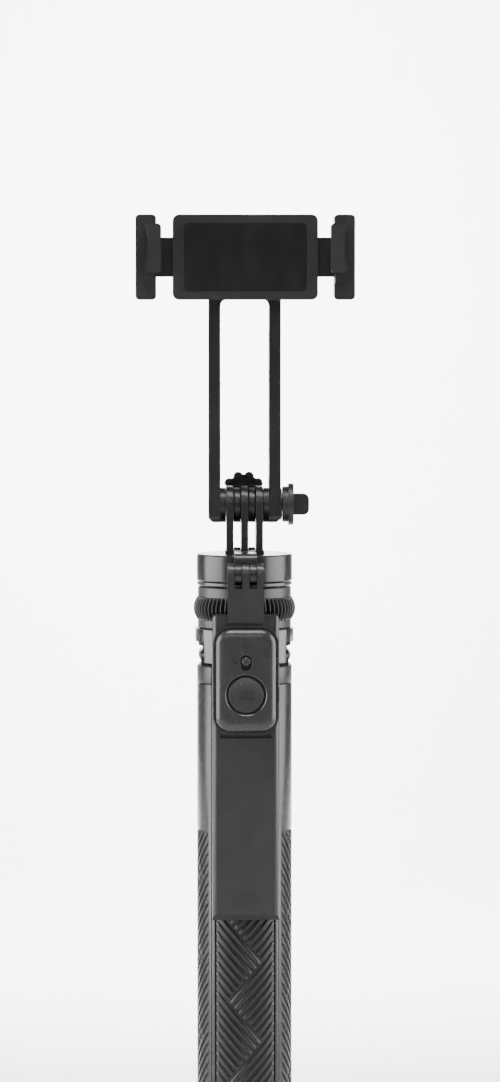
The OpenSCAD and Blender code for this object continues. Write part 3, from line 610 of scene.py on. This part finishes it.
def remote_shells():
    """The remote's pillow-shaped front shell and its back shell, with the button and switch openings; their
    floors get painted shade.
    """
    low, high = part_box("remote_front_shell")
    back_low, back_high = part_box("remote_back_shell")
    w, h, z = high.x - low.x, high.z - low.z, (low.z + high.z) / 2
    corner, sharpest = 6.2 * MM, 0.8 * MM
    soft, deep, steps = 4.2 * MM, 2.7 * MM, 10

    def outline(inset):
        """The shell's outline, drawn in by `inset`."""
        return rounded_rect(w - 2 * inset, h - 2 * inset, max(corner - inset, sharpest), 10)

    loops = [facing_loop(outline(1.2 * MM), high.y, z=z), facing_loop(outline(0.05 * MM), high.y, z=z),
             facing_loop(outline(0), high.y - 0.1 * MM, z=z)]
    for i in range(steps + 1):
        a = math.radians(90 * i / steps)
        loops.append(facing_loop(outline(soft * (1 - math.cos(a))), low.y + deep * (1 - math.sin(a)), z=z))
    front = loft("remote_front", loops, 30)

    button_low, button_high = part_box("shutter_button")
    button_z = (button_low.z + button_high.z) / 2
    button_r = (button_high.x - button_low.x) / 2
    led_low, led_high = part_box("remote_led")
    switch_z = (led_low.z + led_high.z) / 2
    y = low.y
    outside, well_depth, core = y - 1 * MM, 1.0 * MM, 0.1 * MM
    well = turned_y("well", [(core, outside), (button_r + 1.55 * MM, outside),
                             (button_r + 1.4 * MM, y - 0.02 * MM), (button_r + 1.05 * MM, y + 0.25 * MM),
                             (button_r + 0.95 * MM, y + well_depth), (core, y + well_depth)], 0, button_z)
    slot_w, slot_h = 4.7 * MM, 6.3 * MM
    flared, lip, straight = (rounded_rect(slot_w + 2 * g, slot_h + 2 * g, slot_w / 2 + g, 10)
                             for g in (0.35 * MM, 0.02 * MM, 0))
    recess = loft("recess", [facing_loop(flared, outside, z=switch_z),
                             facing_loop(flared, y - 0.01 * MM, z=switch_z),
                             facing_loop(lip, y + 0.22 * MM, z=switch_z),
                             facing_loop(straight, y + well_depth, z=switch_z)])
    led_x, led_r, led_depth, led_core = -4.3 * MM, 0.55 * MM, 0.6 * MM, 0.01 * MM
    led = turned_y("led_hole", [(led_core, outside), (led_r, outside), (led_r, y + led_depth),
                                (led_core, y + led_depth)], led_x, switch_z, 24)
    carve(front, well, recess, led)
    flat_faces_first(front)
    place(front, "remote_front_shell")

    # Thin near-black discs on the floors of the button groove and the switch slot: painted shade where the
    # recesses' shade falls.
    groove_in, groove_out = button_r + 0.1 * MM, button_r + 0.93 * MM
    floor_top, floor_bottom = y + 0.8 * MM, y + 0.99 * MM
    groove = [(groove_in, floor_top), (groove_out, floor_top),
              (groove_out, floor_bottom), (groove_in, floor_bottom)]
    shade_floors = [ring_y("groove_shade_floor", groove, 0, button_z),
              loft("slot_shade_floor", [facing_loop(straight, depth, z=switch_z)
                                  for depth in (y + 0.93 * MM, floor_bottom)])]
    trim(join("painted_shade_floors", shade_floors), "remote", "dark_inner")

    edge, edge_steps, chamfer = 0.9 * MM, 6, 0.12 * MM
    loops = [facing_loop(outline(edge), back_high.y, z=z)]
    for i in range(1, edge_steps + 1):
        a = math.radians(90 * i / edge_steps)
        inset, depth = edge * (1 - math.sin(a)), edge * (1 - math.cos(a))
        loops.append(facing_loop(outline(inset), back_high.y - depth, z=z))
    loops += [facing_loop(outline(0), back_low.y + chamfer, z=z),
              facing_loop(outline(chamfer), back_low.y, z=z)]
    place(loft("remote_back", loops, 30), "remote_back_shell")


def shutter_button():
    """The round button: a rolled rim, a shallow dish and a generic camera sign."""
    low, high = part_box("shutter_button")
    r, z = (high.x - low.x) / 2, (low.z + high.z) / 2
    y = low.y
    core, back = 0.05 * MM, y + 1.2 * MM
    profile = [(core, y + 0.35 * MM), (r * 0.55, y + 0.30 * MM), (r * 0.86, y + 0.16 * MM),
               (r * 0.93, y + 0.02 * MM), (r * 0.955, y), (r * 0.98, y + 0.03 * MM), (r, y + 0.22 * MM),
               (r, back), (core, back)]
    place(turned_y("shutter_cap", profile, 0, z, smooth=50), "shutter_button")
    sign_y = y + 0.42 * MM
    wide, tall, wire = 2.5 * MM, 1.65 * MM, 0.22 * MM
    lens_r, lens_drop, lens_points = 0.95 * MM, 0.1 * MM, 16
    body = [(-wide, -tall), (wide, -tall), (wide, tall * 0.7), (wide * 0.5, tall * 0.75),
            (wide * 0.35, tall * 1.15), (-wide * 0.35, tall * 1.15), (-wide * 0.5, tall * 0.75),
            (-wide, tall * 0.7)]
    circle = arc(0, 0, lens_r, 0, 360 - 360 / lens_points, lens_points - 1)
    outline = tube_path("outline", [(x, sign_y, z + v) for x, v in body], wire, closed=True)
    lens = tube_path("lens", [(x, sign_y, z - lens_drop + v) for x, v in circle], wire, closed=True)
    trim(join("shutter_sign", [outline, lens]), "shutter", "dark_inner")


def power_controls():
    """The slide switch's knob, and a generic power sign above it."""
    low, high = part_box("power_switch")
    r = 1.75 * MM
    z = high.z - r
    y = low.y
    core, stem_r, knob_back = 0.03 * MM, 0.6 * MM, y + 0.9 * MM
    profile = [(core, y + 0.1 * MM), (r * 0.55, y + 0.06 * MM), (r * 0.72, y), (r * 0.88, y + 0.12 * MM),
               (r, y + 0.4 * MM), (r, knob_back), (stem_r, knob_back), (stem_r, high.y), (core, high.y)]
    place(turned_y("switch_knob", profile, 0, z, 48, 50), "power_switch")
    shell_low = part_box("remote_front_shell")[0]
    sign_z, sign_r, wire = z + 6.4 * MM, 1.1 * MM, 0.2 * MM
    sign_y = shell_low.y + 0.14 * MM
    ring = tube_path("ring", [(x, sign_y, sign_z + v) for x, v in arc(0, 0, sign_r, 125, 415, 20)], wire)
    bar = tube_path("bar", [(0, sign_y, sign_z + 0.15 * MM), (0, sign_y, sign_z + sign_r * 1.25)], wire)
    trim(join("power_sign", [ring, bar]), "remote", "dark_inner")


def turned_rings():
    """The cap, the glossy trim ring and the twist lock's collar, turned with soft edges."""
    low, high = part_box("cap")
    r, top, bottom = high.x, high.z, low.z
    edge, low_edge, core = 0.9 * MM, 0.4 * MM, 0.02 * MM
    recess, depth, socket, roof = 14 * MM, 8 * MM, 5.5 * MM, 1 * MM
    profile = [(socket, bottom + depth), (recess, bottom + depth), (recess, bottom),
               *arc(r - low_edge, bottom + low_edge, low_edge, -90, 0, 4),
               *arc(r - edge, top - edge, edge, 0, 90, 8),
               (core, top), (core, top - roof), (socket, top - roof)]
    place(lathe("cap_cover", profile), "cap")
    low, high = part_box("mast_flange_1")
    edge = 0.5 * MM
    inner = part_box("mast_tube_1")[1].x
    profile = [(inner, low.z), *arc(high.x - edge, low.z + edge, edge, -90, 0, 5),
               *arc(high.x - edge, high.z - edge, edge, 0, 90, 5), (inner, high.z)]
    place(lathe("trim_ring", profile), "mast_flange_1")
    low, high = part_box("lock_collar")
    band_low, band_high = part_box("lock_grip_band")
    bore, seat, edge, shoulder = 14.8 * MM, 17.9 * MM, 0.45 * MM, 1.0 * MM
    lip_in, lip_up = 0.3 * MM, 0.15 * MM
    profile = [(bore, low.z), *arc(high.x - edge, low.z + edge, edge, -90, 0, 5),
               (high.x, band_low.z - lip_up), (high.x - lip_in, band_low.z), (seat, band_low.z),
               (seat, band_high.z), (high.x - lip_in, band_high.z), (high.x, band_high.z + lip_up),
               *arc(high.x - shoulder, high.z - shoulder, shoulder, 0, 90, 6), (bore, high.z)]
    place(lathe("twist_collar", profile), "lock_collar")


camera()
stage()
for leg in LEG_DIRECTIONS:
    zigzag_grip(leg)
knurled_band()
crown_skins()
remote_shells()
shutter_button()
power_controls()
turned_rings()
for name, cad in NODES.items():
    if not cad.hide_render:
        softened(name, EDGE_OF.get(name, EDGE))
